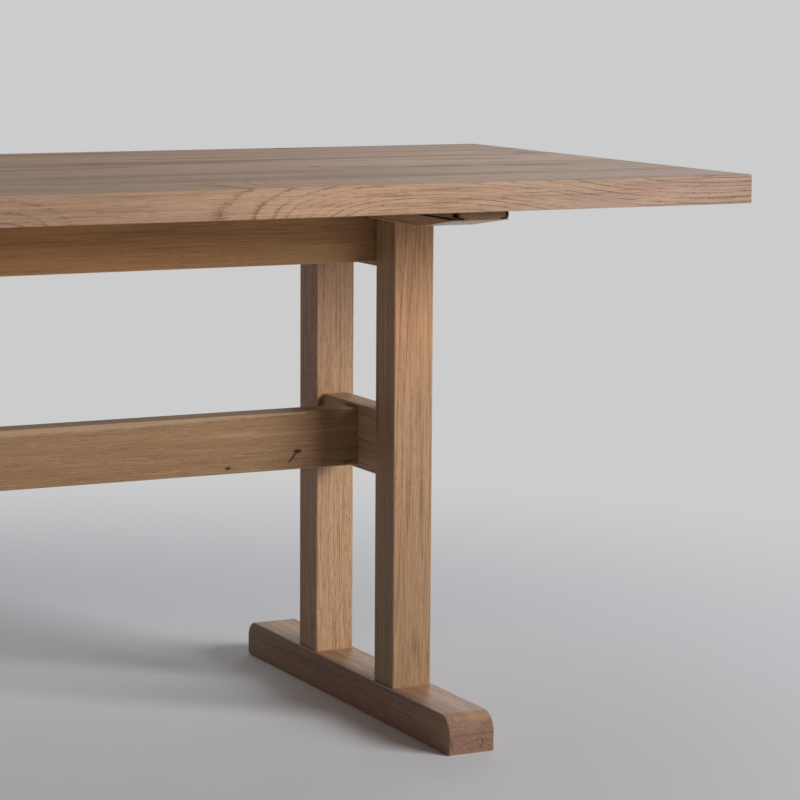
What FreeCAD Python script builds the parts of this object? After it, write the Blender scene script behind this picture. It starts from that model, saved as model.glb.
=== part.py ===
import FreeCAD, Part
import math
import os
import Sketcher

# Oak trestle dining table, in millimetres, +Z up. The origin is on the floor, under the middle
# of the top. X runs along the top, and -Y is the front.
#
# The top is glued up from boards. Each trestle is a laminated foot, two legs, two cross rails
# and a bearer. The legs are tenoned into the foot and the bearer, and the cross rails into the
# legs. A stretcher and two upper rails are bolted to the cross rails, so the table comes apart.
# A batten on each bearer slides into a lipped steel channel screwed under the top.

BOARD_COUNT = 7
SIDES = {"left": -1, "right": 1}
ROWS = {"front": -1, "rear": 1}

# Driving sizes: alias, value in millimetres, what it measures.
SIZES = [
    ("table_height", 760, "floor to the top face"),
    ("top_length", 2000, "length of the top"),
    ("top_thickness", 38, "thickness of the top"),
    ("board_width", 112, "width of one board of the top"),
    ("top_round", 2.5, "radius on the upper edges and corners of the top"),
    ("under_round", 1, "radius on the lower edges of the top"),
    ("end_inset", 380, "end of the top to the middle of a trestle"),
    ("sole_thickness", 26, "lower lamination of the foot"),
    ("cap_thickness", 26, "upper lamination of the foot"),
    ("foot_width", 67, "foot across its length"),
    ("foot_length", 660, "foot from front to back"),
    ("foot_round", 25, "radius of the foot's upper ends"),
    ("leg_side", 58, "side of the square leg"),
    ("leg_gap", 190, "clear space between the two legs of a trestle"),
    ("leg_tenon_width", 26, "leg tenons, along the top"),
    ("leg_tenon_depth", 40, "leg tenons, front to back"),
    ("foot_tenon_length", 38, "leg tenon down into the foot"),
    ("cross_thickness", 38, "cross rails, along the top"),
    ("lower_cross_height", 90, "lower cross rail"),
    ("upper_cross_height", 68, "upper cross rail"),
    ("cross_tenon_width", 14, "cross rail tenons, along the top"),
    ("cross_tenon_length", 38, "cross rail tenons into the leg"),
    ("tenon_shoulder", 10, "shoulder above and below a cross rail tenon"),
    ("stretcher_level", 382, "floor to the middle of the stretcher"),
    ("stretcher_height", 80, "stretcher"),
    ("stretcher_thickness", 40, "stretcher"),
    ("rail_height", 64, "upper rails"),
    ("rail_thickness", 38, "upper rails"),
    ("rail_setback", 5, "outer face of an upper rail behind the leg's inner face"),
    ("rail_rise", 4, "top of an upper rail above the underside of the bearers"),
    ("rail_notch_gap", 1, "notch of an upper rail to the bearer, below and beside"),
    ("bearer_width", 82, "bearer, along the top"),
    ("bearer_thickness", 15, "bearer"),
    ("bearer_setback", 52, "end of the bearer behind the edge of the top"),
    ("bearer_bevel_length", 97, "bevel under each end of the bearer"),
    ("bearer_end_thickness", 1, "bearer at its ends"),
    ("channel_height", 14, "steel channel"),
    ("channel_wall", 3, "steel of the channel"),
    ("channel_lip", 16, "lip turned in under the channel, over all"),
    ("channel_bend", 4, "outside radius of the channel's bends"),
    ("batten_width", 62, "head of the slide batten inside the channel"),
    ("batten_overhang", 10, "slide batten past the ends of the channel"),
    ("batten_groove_width", 16, "groove that clears the channel screws"),
    ("batten_groove_depth", 4.5, "groove that clears the channel screws"),
    ("batten_groove_stop", 16, "front end of the batten to the end of the groove"),
    ("slide_gap", 0.3, "batten to channel, above and below"),
    ("tongue_gap", 1, "batten tongue to each channel lip"),
    ("slot_length", 16, "slots in the channel's web, end to end"),
    ("slot_width", 6, "slots in the channel's web"),
    ("end_slot_inset", 28, "outermost slots from the ends of the channel"),
    ("screw_diameter", 5, "channel screw shank"),
    ("screw_reach", 24, "channel screw into the top"),
    ("screw_head_diameter", 11, "channel screw head"),
    ("screw_head_height", 3.2, "channel screw head"),
    ("lock_diameter", 6, "locking screw shank"),
    ("lock_head_diameter", 10, "locking screw head"),
    ("lock_head_height", 6, "locking screw head"),
    ("lock_recess", 7.5, "depth of the recess for a locking screw head"),
    ("lock_spread", 15, "locking screws each side of the bearer's middle"),
    ("lock_offset", 32, "locking screws past the leg's outer face"),
    ("bolt_diameter", 8, "connector bolt shank"),
    ("bolt_reach", 38, "connector bolt into a long rail"),
    ("bolt_head_diameter", 18, "connector bolt head"),
    ("bolt_head_height", 2.5, "connector bolt head"),
    ("bolt_socket", 5, "width across flats of the key socket"),
    ("bolt_spread", 21, "stretcher bolts above and below its middle"),
    ("nut_diameter", 12, "barrel nut"),
    ("nut_length", 26, "barrel nut"),
    ("nut_inset", 30, "barrel nut from the end of its rail"),
    ("dowel_diameter", 8, "alignment dowel"),
    ("dowel_length", 48, "alignment dowel"),
    ("dowel_in_cross", 20, "alignment dowel inside the cross rail"),
    ("dowel_spread", 19, "dowels above and below the upper rail's middle"),
    ("edge_ease", 1.2, "small chamfer on every arris of the frame"),
    ("sole_ease", 2.5, "chamfer round the underside of a foot"),
    ("joint_gap", 0.15, "tenon to mortise, on each side"),
    ("end_gap", 1, "space past the end of a tenon, dowel, bolt or screw"),
    ("bolt_gap", 0.5, "bolt or screw to its hole, all round"),
    ("thread_gap", 0.1, "thread, dowel or barrel nut to its hole, all round"),
]

# Levels and places worked out from the driving sizes, as expressions.
TOP_DEPTH = f"({BOARD_COUNT} * Sizes.board_width)"
TOP_UNDERSIDE = "(Sizes.table_height - Sizes.top_thickness)"
BEARER_TOP = f"({TOP_UNDERSIDE} - Sizes.channel_height)"
LEG_SHOULDER = f"({BEARER_TOP} - Sizes.bearer_thickness)"
FOOT_TOP = "(Sizes.sole_thickness + Sizes.cap_thickness)"
TRESTLE_X = "(Sizes.top_length / 2 - Sizes.end_inset)"
LEG_Y = "((Sizes.leg_gap + Sizes.leg_side) / 2)"
LONG_RAIL_END = f"({TRESTLE_X} - Sizes.cross_thickness / 2)"
RAIL_Y = "(Sizes.leg_gap / 2 - Sizes.rail_setback - Sizes.rail_thickness / 2)"
RAIL_LEVEL = f"({LEG_SHOULDER} + Sizes.rail_rise - Sizes.rail_height / 2)"
UPPER_CROSS_LEVEL = f"({LEG_SHOULDER} - Sizes.upper_cross_height / 2)"
BEARER_END = f"({TOP_DEPTH} / 2 - Sizes.bearer_setback)"
LOCK_Y = "(Sizes.leg_gap / 2 + Sizes.leg_side + Sizes.lock_offset)"

# Which way the normal of each origin plane points along its axis.
PLANE_NORMAL = {"XY_Plane": 1, "XZ_Plane": -1, "YZ_Plane": 1}

doc = FreeCAD.newDocument("trestle_table")


def make_sheet():
    """The spreadsheet of driving sizes: a name and a plain number in each row."""
    sheet = doc.addObject("Spreadsheet::Sheet", "Sizes")
    for row, (alias, value, meaning) in enumerate(SIZES, start=1):
        sheet.set(f"A{row}", meaning)
        sheet.set(f"B{row}", str(value))
        sheet.setAlias(f"B{row}", alias)
    doc.recompute()
    return sheet


# ---------------------------------------------------------------- modelling helpers

def new_body(label):
    body = doc.addObject("PartDesign::Body", label)
    body.Label = label
    return body


def place(piece, x="0", y="0", turned=False):
    """Put a piece at x, y; a turned piece faces the other way about the vertical."""
    turn = FreeCAD.Rotation(FreeCAD.Vector(0, 0, 1), 180 if turned else 0)
    piece.Placement = FreeCAD.Placement(FreeCAD.Vector(0, 0, 0), turn)
    piece.setExpression("Placement.Base.x", x)
    piece.setExpression("Placement.Base.y", y)


def new_sketch(body, name, plane, start):
    """A sketch on one of the body's own origin planes, moved along the plane's axis to start."""
    sketch = body.newObject("Sketcher::SketchObject", name)
    origin_plane = [item for item in body.Origin.OriginFeatures if item.Role == plane][0]
    sketch.AttachmentSupport = [(origin_plane, "")]
    sketch.MapMode = "FlatFace"
    sketch.setExpression("AttachmentOffset.Base.z", f"{PLANE_NORMAL[plane]} * ({start})")
    return sketch


def bind(sketch, kind, first, first_point, name, expression):
    """Hold a point of the sketch at a distance from its origin, given by an expression."""
    number = sketch.addConstraint(Sketcher.Constraint(kind, -1, 1, first, first_point, 1.0))
    sketch.renameConstraint(number, name)
    sketch.setExpression(f"Constraints.{name}", expression)


def outline(body, name, plane, corners, start="0"):
    """A closed outline of straight lines, each corner bound to a pair of expressions."""
    sketch = new_sketch(body, name, plane, start)
    count = len(corners)
    first_guess = [
        FreeCAD.Vector(math.cos(2 * math.pi * k / count), math.sin(2 * math.pi * k / count), 0)
        for k in range(count)
    ]
    for k in range(count):
        sketch.addGeometry(Part.LineSegment(first_guess[k], first_guess[(k + 1) % count]))
    for k in range(count):
        sketch.addConstraint(Sketcher.Constraint("Coincident", k, 2, (k + 1) % count, 1))
    for k, (across, along) in enumerate(corners):
        bind(sketch, "DistanceX", k, 1, f"corner{k}_across", across)
        bind(sketch, "DistanceY", k, 1, f"corner{k}_along", along)
    return sketch


def rectangle(body, name, plane, across, along, start="0"):
    """A rectangle between the two expressions in across and the two in along."""
    left, right = across
    low, high = along
    corners = [(left, low), (right, low), (right, high), (left, high)]
    return outline(body, name, plane, corners, start)


def circles(body, name, plane, centres, diameter, start="0"):
    """Round holes or pins of one diameter at the given centres."""
    sketch = new_sketch(body, name, plane, start)
    for k, (across, along) in enumerate(centres):
        guess = FreeCAD.Vector(10.0 * k, 0, 0)
        sketch.addGeometry(Part.Circle(guess, FreeCAD.Vector(0, 0, 1), 1.0))
        number = sketch.addConstraint(Sketcher.Constraint("Diameter", k, 2.0))
        sketch.renameConstraint(number, f"hole{k}_diameter")
        sketch.setExpression(f"Constraints.hole{k}_diameter", diameter)
        bind(sketch, "DistanceX", k, 3, f"hole{k}_across", across)
        bind(sketch, "DistanceY", k, 3, f"hole{k}_along", along)
    return sketch


def pad(body, name, sketch, plane, length, direction=1):
    """Add material from the sketch towards + or - along the plane's axis."""
    feature = body.newObject("PartDesign::Pad", name)
    feature.Profile = sketch
    feature.Reversed = direction * PLANE_NORMAL[plane] < 0
    feature.setExpression("Length", length)
    return feature


def pocket(body, name, sketch, plane, length, direction=1):
    """Cut from the sketch towards + or - along the plane's axis."""
    feature = body.newObject("PartDesign::Pocket", name)
    feature.Profile = sketch
    feature.Reversed = direction * PLANE_NORMAL[plane] > 0
    feature.setExpression("Length", length)
    return feature


def edge_names(feature, wanted):
    """Names of the edges of a feature for which wanted(edge) is true."""
    doc.recompute()
    return [f"Edge{k}" for k, edge in enumerate(feature.Shape.Edges, start=1) if wanted(edge)]


def runs_along(axis):
    """A test for straight edges that run along an axis."""
    def test(edge):
        if edge.Curve.TypeId != "Part::GeomLine":
            return False
        return abs(edge.Curve.Direction.dot(axis)) > 0.999
    return test


def chamfer(body, name, feature, wanted, size="Sizes.edge_ease"):
    cut = body.newObject("PartDesign::Chamfer", name)
    cut.Base = (feature, edge_names(feature, wanted))
    cut.setExpression("Size", size)
    return cut


def fillet(body, name, feature, wanted, radius):
    bend = body.newObject("PartDesign::Fillet", name)
    bend.Base = (feature, edge_names(feature, wanted))
    bend.setExpression("Radius", radius)
    return bend


def cylinder(name, diameter, length, at, axis="Z"):
    """A Part cylinder of a fastener; it starts at the point at and runs along the axis."""
    turn = {
        "Z": FreeCAD.Rotation(),
        "X": FreeCAD.Rotation(FreeCAD.Vector(0, 1, 0), 90),
        "Y": FreeCAD.Rotation(FreeCAD.Vector(1, 0, 0), -90),
    }[axis]
    shape = doc.addObject("Part::Cylinder", name)
    shape.Placement = FreeCAD.Placement(FreeCAD.Vector(0, 0, 0), turn)
    shape.setExpression("Radius", f"({diameter}) / 2")
    shape.setExpression("Height", length)
    for letter, expression in zip("xyz", at):
        shape.setExpression(f"Placement.Base.{letter}", expression)
    return shape


def fuse(name, first, second):
    joined = doc.addObject("Part::Fuse", name)
    joined.Base = first
    joined.Tool = second
    return joined


def cut(name, first, second):
    left = doc.addObject("Part::Cut", name)
    left.Base = first
    left.Tool = second
    return left


def group(label, pieces):
    """Identical fasteners as separate solids of one node."""
    compound = doc.addObject("Part::Compound", label)
    compound.Label = label
    compound.Links = pieces
    return compound


X_AXIS = FreeCAD.Vector(1, 0, 0)
Y_AXIS = FreeCAD.Vector(0, 1, 0)
Z_AXIS = FreeCAD.Vector(0, 0, 1)


# ---------------------------------------------------------------- the top

def screw_places():
    """Y of each channel screw: the middle of an inner board, or near the channel's end."""
    middle = (BOARD_COUNT - 1) // 2
    places = [f"{k} * Sizes.board_width" for k in range(1 - middle, middle)]
    end = f"({BEARER_END} - Sizes.end_slot_inset)"
    return [f"-{end}"] + places + [end]


def tabletop_board(index):
    """One board of the top. The outer arrises of the whole top are rounded, the seams are not."""
    body = new_body(f"tabletop_board_{index + 1}")
    steps = index - (BOARD_COUNT - 1) / 2
    centre = f"{steps} * Sizes.board_width"
    half_length = "Sizes.top_length / 2"
    half_width = "Sizes.board_width / 2"
    section = rectangle(body, "board_face", "XY_Plane", (f"-{half_length}", half_length),
                        (f"-{half_width}", half_width), TOP_UNDERSIDE)
    blank = pad(body, "board", section, "XY_Plane", "Sizes.top_thickness")
    doc.recompute()
    box = blank.Shape.BoundBox
    outer_faces = [("x", box.XMin), ("x", box.XMax)]
    if index == 0:
        outer_faces.append(("y", box.YMin))
    if index == BOARD_COUNT - 1:
        outer_faces.append(("y", box.YMax))
    seam_faces = [("y", y) for y in (box.YMin, box.YMax) if ("y", y) not in outer_faces]

    def on(edge, faces):
        return any(all(abs(getattr(vertex, axis.upper()) - level) < 1e-6 for vertex in edge.Vertexes)
                   for axis, level in faces)

    def is_lower(edge):
        return on(edge, [("z", box.ZMin)]) and not on(edge, seam_faces)

    def is_upper(edge):
        return on(edge, outer_faces) and not on(edge, seam_faces) and not is_lower(edge)

    upper = fillet(body, "upper_round", blank, is_upper, "Sizes.top_round")
    fillet(body, "lower_round", upper, is_lower, "Sizes.under_round")
    screw_y = f"({screw_places()[index]}) - ({centre})"
    pilots = circles(body, "pilot_holes", "XY_Plane", [(f"-{TRESTLE_X}", screw_y), (TRESTLE_X, screw_y)],
                     "Sizes.screw_diameter + 2 * Sizes.thread_gap", TOP_UNDERSIDE)
    pocket(body, "screw_pilots", pilots, "XY_Plane", "Sizes.screw_reach + Sizes.end_gap")
    place(body, y=centre)
    return body


# ---------------------------------------------------------------- the trestles

def leg_mortise(body, name, y, start, length, direction):
    """A mortise for a leg's tenon, cut along Z into a foot or bearer piece."""
    half_width = "(Sizes.leg_tenon_width / 2 + Sizes.joint_gap)"
    half_depth = "(Sizes.leg_tenon_depth / 2 + Sizes.joint_gap)"
    mouth = rectangle(body, f"{name}_mouth", "XY_Plane", (f"-{half_width}", half_width),
                      (f"{y} - {half_depth}", f"{y} + {half_depth}"), start)
    pocket(body, name, mouth, "XY_Plane", length, direction)


def foot_sole(side):
    """The lower lamination of a foot, which stands on the floor."""
    body = new_body(f"{side}_foot_sole")
    plan = rectangle(body, "sole_plan", "XY_Plane", ("-Sizes.foot_width / 2", "Sizes.foot_width / 2"),
                     ("-Sizes.foot_length / 2", "Sizes.foot_length / 2"))
    blank = pad(body, "sole", plan, "XY_Plane", "Sizes.sole_thickness")

    eased = chamfer(body, "lower_arrises", blank, lambda edge: edge.BoundBox.ZMax < 1e-6, "Sizes.sole_ease")
    chamfer(body, "upright_arrises", eased, runs_along(Z_AXIS))
    for row, sign in ROWS.items():
        depth = "Sizes.foot_tenon_length - Sizes.cap_thickness + Sizes.end_gap"
        leg_mortise(body, f"{row}_mortise", f"{sign} * {LEG_Y}", "Sizes.sole_thickness", depth, -1)
    place(body, x=f"{SIDES[side]} * {TRESTLE_X}")
    return body


def foot_cap(side):
    """The upper lamination of a foot, rounded at both ends."""
    body = new_body(f"{side}_foot_cap")
    plan = rectangle(body, "cap_plan", "XY_Plane", ("-Sizes.foot_width / 2", "Sizes.foot_width / 2"),
                     ("-Sizes.foot_length / 2", "Sizes.foot_length / 2"), "Sizes.sole_thickness")
    blank = pad(body, "cap", plan, "XY_Plane", "Sizes.cap_thickness")
    doc.recompute()
    top = blank.Shape.BoundBox.ZMax
    side_face = blank.Shape.BoundBox.XMax

    def top_end(edge):
        return runs_along(X_AXIS)(edge) and edge.Vertexes[0].Z > top - 1e-6

    def side_arris(edge):
        on_side = all(abs(abs(vertex.X) - side_face) < 1e-6 for vertex in edge.Vertexes)
        return on_side and edge.BoundBox.ZMax > top - size_of("cap_thickness") + 1e-6

    rounded = fillet(body, "rounded_ends", blank, top_end, "Sizes.foot_round")
    chamfer(body, "cap_arrises", rounded, side_arris)
    for row, sign in ROWS.items():
        leg_mortise(body, f"{row}_mortise", f"{sign} * {LEG_Y}", "Sizes.sole_thickness",
                    "Sizes.cap_thickness", 1)
    place(body, x=f"{SIDES[side]} * {TRESTLE_X}")
    return body


def leg(side, row):
    """A square leg: a tenon at each end, and two mortises on the face towards the other leg."""
    body = new_body(f"{side}_{row}_leg")
    half = "Sizes.leg_side / 2"
    section = rectangle(body, "leg_section", "XY_Plane", (f"-{half}", half), (f"-{half}", half), FOOT_TOP)
    shaft = pad(body, "shaft", section, "XY_Plane", f"{LEG_SHOULDER} - {FOOT_TOP}")
    chamfer(body, "leg_arrises", shaft, runs_along(Z_AXIS))

    tenon_across = ("-Sizes.leg_tenon_width / 2", "Sizes.leg_tenon_width / 2")
    tenon_along = ("-Sizes.leg_tenon_depth / 2", "Sizes.leg_tenon_depth / 2")
    lower = rectangle(body, "foot_tenon_section", "XY_Plane", tenon_across, tenon_along, FOOT_TOP)
    pad(body, "foot_tenon", lower, "XY_Plane", "Sizes.foot_tenon_length", -1)
    upper = rectangle(body, "bearer_tenon_section", "XY_Plane", tenon_across, tenon_along, LEG_SHOULDER)
    pad(body, "bearer_tenon", upper, "XY_Plane", "Sizes.bearer_thickness - Sizes.end_gap")

    half_width = "(Sizes.cross_tenon_width / 2 + Sizes.joint_gap)"
    for name, level, height in cross_rail_levels():
        half_height = f"({height} / 2 - Sizes.tenon_shoulder + Sizes.joint_gap)"
        mouth = rectangle(body, f"{name}_mouth", "XZ_Plane", (f"-{half_width}", half_width),
                          (f"{level} - {half_height}", f"{level} + {half_height}"), half)
        pocket(body, f"{name}_mortise", mouth, "XZ_Plane", "Sizes.cross_tenon_length + Sizes.end_gap", -1)
    place(body, f"{SIDES[side]} * {TRESTLE_X}", f"{ROWS[row]} * {LEG_Y}", turned=row == "rear")
    return body


def cross_rail_levels():
    """Name, middle level and height of the two cross rails of a trestle."""
    return [("lower", "Sizes.stretcher_level", "Sizes.lower_cross_height"),
            ("upper", UPPER_CROSS_LEVEL, "Sizes.upper_cross_height")]


def cross_rail(side, name, level, height, bolts, dowels):
    """A rail between the legs, with a tenon at each end, bored for bolts and dowels.

    Bolt heads bear on its outer face, and dowels enter its inner face.
    """
    body = new_body(f"{side}_{name}_cross_rail")
    half_thickness = "Sizes.cross_thickness / 2"
    half_height = f"({height} / 2)"
    section = rectangle(body, "rail_section", "XZ_Plane", (f"-{half_thickness}", half_thickness),
                        (f"{level} - {half_height}", f"{level} + {half_height}"), "-Sizes.leg_gap / 2")
    blank = pad(body, "rail", section, "XZ_Plane", "Sizes.leg_gap")
    chamfer(body, "rail_arrises", blank, runs_along(Y_AXIS))

    tenon_half_height = f"({half_height} - Sizes.tenon_shoulder)"
    tenon_section = rectangle(body, "tenon_section", "XZ_Plane",
                              ("-Sizes.cross_tenon_width / 2", "Sizes.cross_tenon_width / 2"),
                              (f"{level} - {tenon_half_height}", f"{level} + {tenon_half_height}"),
                              "-(Sizes.leg_gap / 2 + Sizes.cross_tenon_length)")
    pad(body, "tenons", tenon_section, "XZ_Plane", "Sizes.leg_gap + 2 * Sizes.cross_tenon_length")

    bores = circles(body, "bolt_bores", "YZ_Plane", bolts, "Sizes.bolt_diameter + 2 * Sizes.bolt_gap",
                    f"-{half_thickness}")
    pocket(body, "bolt_holes", bores, "YZ_Plane", "Sizes.cross_thickness")
    if dowels:
        bores = circles(body, "dowel_bores", "YZ_Plane", dowels,
                        "Sizes.dowel_diameter + 2 * Sizes.thread_gap", f"-{half_thickness}")
        pocket(body, "dowel_holes", bores, "YZ_Plane", "Sizes.dowel_in_cross + Sizes.end_gap")
    place(body, x=f"{SIDES[side]} * {TRESTLE_X}", turned=side == "left")
    return body


def top_bearer(side):
    """The wide thin batten on the legs, bevelled underneath towards both ends."""
    body = new_body(f"{side}_top_bearer")
    bevel_start = f"({BEARER_END} - Sizes.bearer_bevel_length)"
    end_underside = f"({BEARER_TOP} - Sizes.bearer_end_thickness)"
    corners = [(f"-{BEARER_END}", BEARER_TOP), (f"-{BEARER_END}", end_underside),
               (f"-{bevel_start}", LEG_SHOULDER), (bevel_start, LEG_SHOULDER),
               (BEARER_END, end_underside), (BEARER_END, BEARER_TOP)]
    profile = outline(body, "bearer_profile", "YZ_Plane", corners, "-Sizes.bearer_width / 2")
    blank = pad(body, "bearer", profile, "YZ_Plane", "Sizes.bearer_width")
    doc.recompute()
    side_face = blank.Shape.BoundBox.XMax
    middle_level = blank.Shape.BoundBox.Center.z

    def lower_side_arris(edge):
        on_side = all(abs(abs(vertex.X) - side_face) < 1e-6 for vertex in edge.Vertexes)
        return on_side and runs_along(Y_AXIS)(edge) and edge.Vertexes[0].Z < middle_level

    chamfer(body, "bearer_arrises", blank, lower_side_arris)
    for row, sign in ROWS.items():
        leg_mortise(body, f"{row}_mortise", f"{sign} * {LEG_Y}", LEG_SHOULDER, "Sizes.bearer_thickness", 1)
    recesses = circles(body, "lock_recess_circles", "XY_Plane", lock_places(),
                       "Sizes.lock_head_diameter + 2 * Sizes.bolt_gap", LEG_SHOULDER)
    pocket(body, "lock_recesses", recesses, "XY_Plane", "Sizes.lock_recess")
    holes = circles(body, "lock_hole_circles", "XY_Plane", lock_places(),
                    "Sizes.lock_diameter + 2 * Sizes.bolt_gap", LEG_SHOULDER)
    pocket(body, "lock_holes", holes, "XY_Plane", "Sizes.bearer_thickness")
    place(body, x=f"{SIDES[side]} * {TRESTLE_X}")
    return body


def lock_places():
    """X and Y of the locking screws about the middle of a bearer."""
    return [(f"{across} * Sizes.lock_spread", f"{along} * {LOCK_Y}")
            for across in (-1, 1) for along in (-1, 1)]


def slide_batten(side):
    """The T-shaped batten on the bearer: its tongue passes the lips, its head is in the channel.

    It slides in from the front, so the groove for the screw heads is open at the rear only.
    """
    body = new_body(f"{side}_slide_batten")
    tongue = "(Sizes.bearer_width / 2 - Sizes.channel_lip - Sizes.tongue_gap)"
    head = "(Sizes.batten_width / 2)"
    head_bottom = f"({BEARER_TOP} + Sizes.channel_wall + Sizes.slide_gap)"
    head_top = f"({TOP_UNDERSIDE} - Sizes.channel_wall - Sizes.slide_gap)"
    right_half = [(tongue, BEARER_TOP), (tongue, head_bottom), (head, head_bottom), (head, head_top)]
    left_half = [(f"-{across}", up) for across, up in reversed(right_half)]
    end = f"({BEARER_END} + Sizes.batten_overhang)"
    section = outline(body, "batten_section", "XZ_Plane", right_half + left_half, f"-{end}")
    pad(body, "batten", section, "XZ_Plane", f"2 * {end}")

    half_groove = "Sizes.batten_groove_width / 2"
    stop = f"(Sizes.batten_groove_stop + {half_groove} - {end})"
    groove = rectangle(body, "groove_plan", "XY_Plane", (f"-{half_groove}", half_groove), (stop, end),
                       head_top)
    pocket(body, "groove", groove, "XY_Plane", "Sizes.batten_groove_depth", -1)
    groove_end = circles(body, "groove_end_circle", "XY_Plane", [("0", stop)],
                         "Sizes.batten_groove_width", head_top)
    pocket(body, "groove_end", groove_end, "XY_Plane", "Sizes.batten_groove_depth", -1)
    holes = circles(body, "lock_hole_circles", "XY_Plane", lock_places(),
                    "Sizes.lock_diameter + 2 * Sizes.bolt_gap", BEARER_TOP)
    pocket(body, "lock_holes", holes, "XY_Plane", "Sizes.channel_height")
    place(body, x=f"{SIDES[side]} * {TRESTLE_X}")
    return body


def cut_slots(body, start):
    """Round-ended slots along Y through the web, one for each channel screw."""
    half_width = "(Sizes.slot_width / 2)"
    half_span = "((Sizes.slot_length - Sizes.slot_width) / 2)"
    for k, y in enumerate(screw_places()):
        middle = rectangle(body, f"slot_{k}_plan", "XY_Plane", (f"-{half_width}", half_width),
                           (f"{y} - {half_span}", f"{y} + {half_span}"), start)
        pocket(body, f"slot_{k}", middle, "XY_Plane", "Sizes.channel_wall")
    end_centres = [("0", f"{y} {sign} {half_span}") for y in screw_places() for sign in "+-"]
    ends = circles(body, "slot_end_circles", "XY_Plane", end_centres, "Sizes.slot_width", start)
    pocket(body, "slot_ends", ends, "XY_Plane", "Sizes.channel_wall")


def steel_channel(side):
    """The lipped channel under the top: web up, lips turned in under the batten's head."""
    body = new_body(f"{side}_steel_channel")
    outer = "(Sizes.bearer_width / 2)"
    inner = f"({outer} - Sizes.channel_wall)"
    lip = f"({outer} - Sizes.channel_lip)"
    lip_top = f"({BEARER_TOP} + Sizes.channel_wall)"
    web_bottom = f"({TOP_UNDERSIDE} - Sizes.channel_wall)"
    right_half = [(outer, TOP_UNDERSIDE), (outer, BEARER_TOP), (lip, BEARER_TOP), (lip, lip_top),
                  (inner, lip_top), (inner, web_bottom)]
    left_half = [(f"-{across}", up) for across, up in reversed(right_half)]
    section = outline(body, "channel_section", "XZ_Plane", right_half + left_half, f"-{BEARER_END}")
    blank = pad(body, "channel", section, "XZ_Plane", f"2 * {BEARER_END}")
    doc.recompute()
    outer_face = blank.Shape.BoundBox.XMax
    wall = size_of("channel_wall")

    def outer_corner(edge):
        return runs_along(Y_AXIS)(edge) and abs(abs(edge.Vertexes[0].X) - outer_face) < 1e-6

    def inner_corner(edge):
        return runs_along(Y_AXIS)(edge) and abs(abs(edge.Vertexes[0].X) - outer_face + wall) < 1e-6

    bent = fillet(body, "outer_bends", blank, outer_corner, "Sizes.channel_bend")
    fillet(body, "inner_bends", bent, inner_corner, "Sizes.channel_bend - Sizes.channel_wall")
    cut_slots(body, web_bottom)
    holes = circles(body, "lock_hole_circles", "XY_Plane", lock_places(),
                    "Sizes.lock_diameter + 2 * Sizes.thread_gap", web_bottom)
    pocket(body, "lock_holes", holes, "XY_Plane", "Sizes.channel_wall")
    place(body, x=f"{SIDES[side]} * {TRESTLE_X}")
    return body


# ---------------------------------------------------------------- the long rails

def long_rail(label, thickness, height, level, bolts, dowels, notched=False, y="0", turned=False):
    """A rail from trestle to trestle, bored at both ends for bolts, barrel nuts and dowels.

    bolts and dowels are heights above the middle of the rail. The nut holes are sunk from the
    +Y face and stop past the nut. A notched rail is cut away under the bearers.
    """
    body = new_body(label)
    half_thickness = f"({thickness} / 2)"
    half_height = f"({height} / 2)"
    section = rectangle(body, "rail_section", "YZ_Plane", (f"-{half_thickness}", half_thickness),
                        (f"{level} - {half_height}", f"{level} + {half_height}"), f"-{LONG_RAIL_END}")
    blank = pad(body, "rail", section, "YZ_Plane", f"2 * {LONG_RAIL_END}")
    chamfer(body, "rail_arrises", blank, runs_along(X_AXIS))

    bolt_points = [("0", f"{level} + {offset}") for offset in bolts]
    dowel_points = [("0", f"{level} + {offset}") for offset in dowels]
    for side, sign in SIDES.items():
        end = f"{sign} * {LONG_RAIL_END}"
        bores = circles(body, f"{side}_bolt_bores", "YZ_Plane", bolt_points,
                        "Sizes.bolt_diameter + 2 * Sizes.bolt_gap", end)
        pocket(body, f"{side}_bolt_holes", bores, "YZ_Plane", "Sizes.bolt_reach + Sizes.end_gap", -sign)
        if dowels:
            bores = circles(body, f"{side}_dowel_bores", "YZ_Plane", dowel_points,
                            "Sizes.dowel_diameter + 2 * Sizes.thread_gap", end)
            depth = "Sizes.dowel_length - Sizes.dowel_in_cross + Sizes.end_gap"
            pocket(body, f"{side}_dowel_holes", bores, "YZ_Plane", depth, -sign)
        nut_x = f"{sign} * ({LONG_RAIL_END} - Sizes.nut_inset)"
        nut_points = [(nut_x, f"{level} + {offset}") for offset in bolts]
        bores = circles(body, f"{side}_nut_bores", "XZ_Plane", nut_points,
                        "Sizes.nut_diameter + 2 * Sizes.thread_gap", half_thickness)
        depth = f"{half_thickness} + Sizes.nut_length / 2 + Sizes.end_gap"
        pocket(body, f"{side}_nut_holes", bores, "XZ_Plane", depth, -1)
        if notched:
            notch_end = f"({TRESTLE_X} - Sizes.bearer_width / 2 - Sizes.rail_notch_gap)"
            mouth = rectangle(body, f"{side}_notch_mouth", "XY_Plane", (f"{sign} * {notch_end}", end),
                              (f"-{half_thickness}", half_thickness), f"{level} + {half_height}")
            pocket(body, f"{side}_notch", mouth, "XY_Plane", "Sizes.rail_rise + Sizes.rail_notch_gap", -1)
    place(body, y=y, turned=turned)
    return body


STRETCHER_BOLTS = ["Sizes.bolt_spread", "-Sizes.bolt_spread"]
RAIL_BOLTS = ["0"]
RAIL_DOWELS = ["Sizes.dowel_spread", "-Sizes.dowel_spread"]


# ---------------------------------------------------------------- fasteners of one trestle

def stretcher_bolt_places():
    """Y and Z of the connector bolts in the stretcher."""
    return [("0", f"Sizes.stretcher_level + {offset}") for offset in STRETCHER_BOLTS]


def rail_bolt_places():
    """Y and Z of the connector bolts in the upper rails, one in each."""
    return [(f"{sign} * {RAIL_Y}", RAIL_LEVEL) for sign in ROWS.values()]


def bolt_places():
    return stretcher_bolt_places() + rail_bolt_places()


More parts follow.
